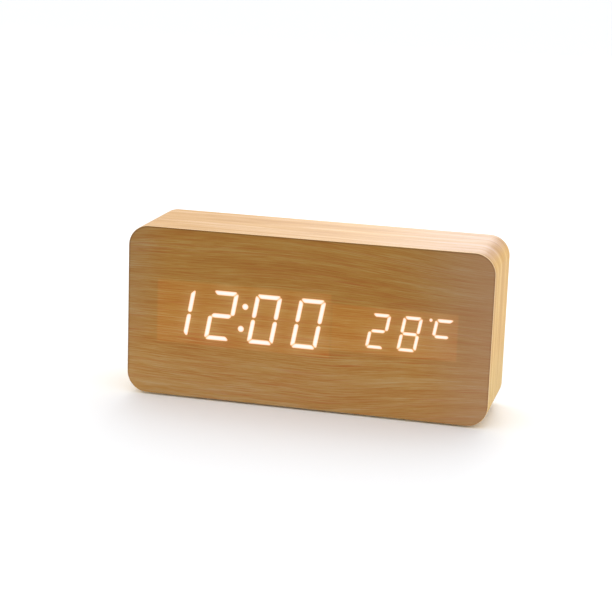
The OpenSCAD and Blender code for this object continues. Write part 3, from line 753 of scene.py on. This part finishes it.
def front_sheet(wood, rim):
    """Front veneer with its edge rounded over, which keeps how much light reaches each point."""
    edges = np.concatenate([lit_edges(node) for node in LIT])
    loops = []
    vertices = []
    for inset, y in rim_levels(front_high.y, front_y):
        ring = case_outline(inset)
        loops.append(range(len(vertices), len(vertices) + len(ring)))
        vertices += [(x, y, z) for x, z in ring]
    along = np.tile(lengths_along(ring), len(loops))
    faces = [tuple(reversed(loops[0]))]
    faces += [tuple(reversed(f)) for f in strip_faces(loops)]
    rounded = len(faces)
    faces += fill_front(vertices, loops[-1], sheet_points(edges))

    piece = add_piece("front_sheet", vertices, faces, [wood, rim], "front_wood", "front_veneer")
    for face in piece.data.polygons[:rounded]:
        face.use_smooth = True
    # The back, the side and the outer half of the rounding are the veneer's sanded end
    for face in piece.data.polygons[: 1 + (1 + ROUND_STEPS // 2) * len(ring)]:
        face.material_index = 1
    places = np.array([(x / MM, z / MM) for x, _, z in vertices])
    store(piece, "core", blurred_light(edges, places, CORE_BLUR))
    store(piece, "halo", blurred_light(edges, places, HALO_BLUR))
    store(piece, "panel", panel_distance(places))
    store(piece, "border", border_distance(places))
    store(piece, "along", np.concatenate([along, np.zeros(len(vertices) - len(along))]))


def opened(ring):
    """The ring with its ends at the edge veneer's seam."""
    bottom = ring[0][1]
    return [(SEAM / 2, bottom), *ring, (-SEAM / 2, bottom)]


def edge_band(wood):
    """The band of veneer round the case, open at a fine seam in the middle of its underside."""
    low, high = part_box("edge_veneer")
    outer = opened(case_outline())
    inner = opened(case_outline(EDGE_T))
    section = [(outer, low.y), (outer, high.y), (inner, high.y), (inner, low.y)]
    count = len(outer)
    vertices = [(x, y, z) for ring, y in section for x, z in ring]
    loops = [range(k * count, (k + 1) * count) for k in range(len(section))]
    faces = [tuple(reversed(f)) for f in strip_faces([*loops, loops[0]], closed=False)]
    start, end = [[loop[i] for loop in loops] for i in (0, -1)]
    faces += [tuple(start), tuple(reversed(end))]
    piece = add_piece("edge_band", vertices, faces, [wood], "edge_wood", "edge_veneer")
    store(piece, "along", np.tile(lengths_along(outer), len(section)))
    smooth_by_angle(piece)


def back_sheet(wood, rim):
    """Back veneer ring, rounded over outside and a little inside, where the cover is let in."""
    low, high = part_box("back_veneer")
    rings = [(case_outline(inset), y) for inset, y in rim_levels(low.y, high.y)]
    width, height, radius = OPENING
    rings += [
        (outline(width + 2 * LIP, height + 2 * LIP, radius + LIP), high.y),
        (outline(width, height, radius), high.y - LIP),
        (outline(width, height, radius), low.y),
    ]
    count = len(rings[0][0])
    vertices = [(x, y, z) for ring, y in rings for x, z in ring]
    loops = [range(k * count, (k + 1) * count) for k in range(len(rings))]
    faces = strip_faces([*loops, loops[0]])
    piece = add_piece("back_sheet", vertices, faces, [wood, rim], "back_wood", "back_veneer")
    # The side and the outer half of the rounding are the veneer's sanded end
    for face in piece.data.polygons[: count * (1 + ROUND_STEPS // 2)]:
        face.material_index = 1
    store(piece, "along", np.concatenate([lengths_along(ring) for ring, _ in rings]))
    smooth_by_angle(piece)


def smooth_by_angle(piece):
    """Smooth shading that keeps sharp edges sharp."""
    piece.data.shade_smooth()
    piece.data.set_sharp_from_angle(angle=SHARP)


def soften(node):
    """Rounds a moulded node's sharp edges, once its flat faces are whole."""
    piece = nodes[node]
    piece.modifiers.new("weld", "WELD").merge_threshold = 1e-6
    flat = piece.modifiers.new("flat", "DECIMATE")
    flat.decimate_type = "DISSOLVE"
    flat.angle_limit = math.radians(0.5)
    bevel = piece.modifiers.new("bevel", "BEVEL")
    bevel.width = MOULD_ROUND
    bevel.segments = 2
    bevel.limit_method = "ANGLE"
    bevel.angle_limit = math.radians(40)
    bevel.harden_normals = True


def dress(material, *names):
    """Gives CAD nodes their material."""
    for name in names:
        for place in nodes[name].material_slots:
            place.material = material


# ---- Scene ----

add_camera()
add_world(1.05)
add_softbox("top_softbox", (-0.05, 0.55, 0.95), (0, 0, 0.03), (0.8, 0.6), 1.6)
add_softbox("back_softbox", (-0.1, 1.45, 0.42), (0, 0, 0.05), (0.5, 0.25), 3.0)

rim = rim_wood()
front_sheet(front_wood(), rim)
edge_band(edge_wood())
back_sheet(back_wood(), rim)

dress(fibreboard(), "case_core")
dress(rubber("foot_rubber", "3a3a3c"), *[n for n in nodes if n.startswith("foot_")])
dress(plastic("display_plastic", "29292b"), *DISPLAYS)
dress(lens("lit_lens", "fff4e6", "ffe8cc"), *LIT)
dress(lens("dark_lens", "d9d5cc"), "segments_dark")
dress(plastic("led_die", "e8cf5e", 0.3, 0.01), "led_dies")
dress(circuit_board("display_laminate", "3f6e3c"), "time_display_board", "temp_display_board")
dress(circuit_board("board_laminate", "1c6b40"), "main_board", "io_board")
tinned = metal("tinned_metal", "d4d4d6")
dress(tinned, "display_pins", "terminal_contacts", "bridge_contacts", "contact_springs")
dress(metal("screw_steel", "b4b4b6", 0.35), "main_board_screws", "io_board_screws")
dress(metal("cover_screw_steel", "8e8e90", 0.4), "cover_screws")
dress(plastic("chip_plastic", "232325", 0.55), "controller_chip", "driver_chip", "chip_resistors")
dress(metal("can_metal", "cfcfd2", 0.25), "crystal", "microphone")
dress(plastic("buzzer_plastic", "1b1b1d", 0.4), "buzzer")
dress(plastic("bead_epoxy", "4c2a16", 0.2, 0.005), "thermistor")
dress(plastic("holder_plastic", "242428", 0.5), "cell_holder")
dress(metal("coin_steel", "c9cacc", 0.22), "backup_cell")
dress(plastic("capacitor_sleeve", "1f2a4e", 0.25, 0.005), "capacitors")
dress(plastic("connector_plastic", "ece4d2", 0.45), "battery_connector", "io_connector")
dress(plastic("red_insulation", "b81f1f", 0.4, 0.01), "red_wire")
dress(plastic("black_insulation", "1e1e1f", 0.4, 0.01), "black_wire")
dress(plastic("grey_insulation", "8c8c90", 0.4, 0.01), "io_cable")
dress(plastic("switch_plastic", "28282b", 0.45), "set_switch", "up_switch", "down_switch")
dress(plastic("plunger_plastic", "dfd9cc", 0.4), "set_plunger", "up_plunger", "down_plunger")
ink_y = (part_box("set_button")[1].y - INK_DEPTH) / MM
dress(printed_plastic("button_plastic", "303033", "b9bbbd", ink_y), *KEYS)
dress(plastic("socket_plastic", "1a1a1c", 0.35, 0.008), "dc_socket")
dress(metal("socket_pin_metal", "d9b566", 0.2), "dc_socket_pin")
dress(plastic("cover_plastic", "222224", 0.52, 0.03), "back_cover")
dress(plastic("door_plastic", "252528", 0.5, 0.03), "battery_door")
for number in range(1, 5):
    cell_low, cell_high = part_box(f"battery_cell_{number}")
    nub_x, heading = (cell_high.x, 1) if number % 2 else (cell_low.x, -1)
    dress(cell_sleeve(f"cell_sleeve_{number}", nub_x, heading), f"battery_cell_{number}")

for name in ("back_cover", "battery_door", *KEYS, "dc_socket", "cover_screws"):
    soften(name)

add_floor()

scene.view_settings.view_transform = "Standard"
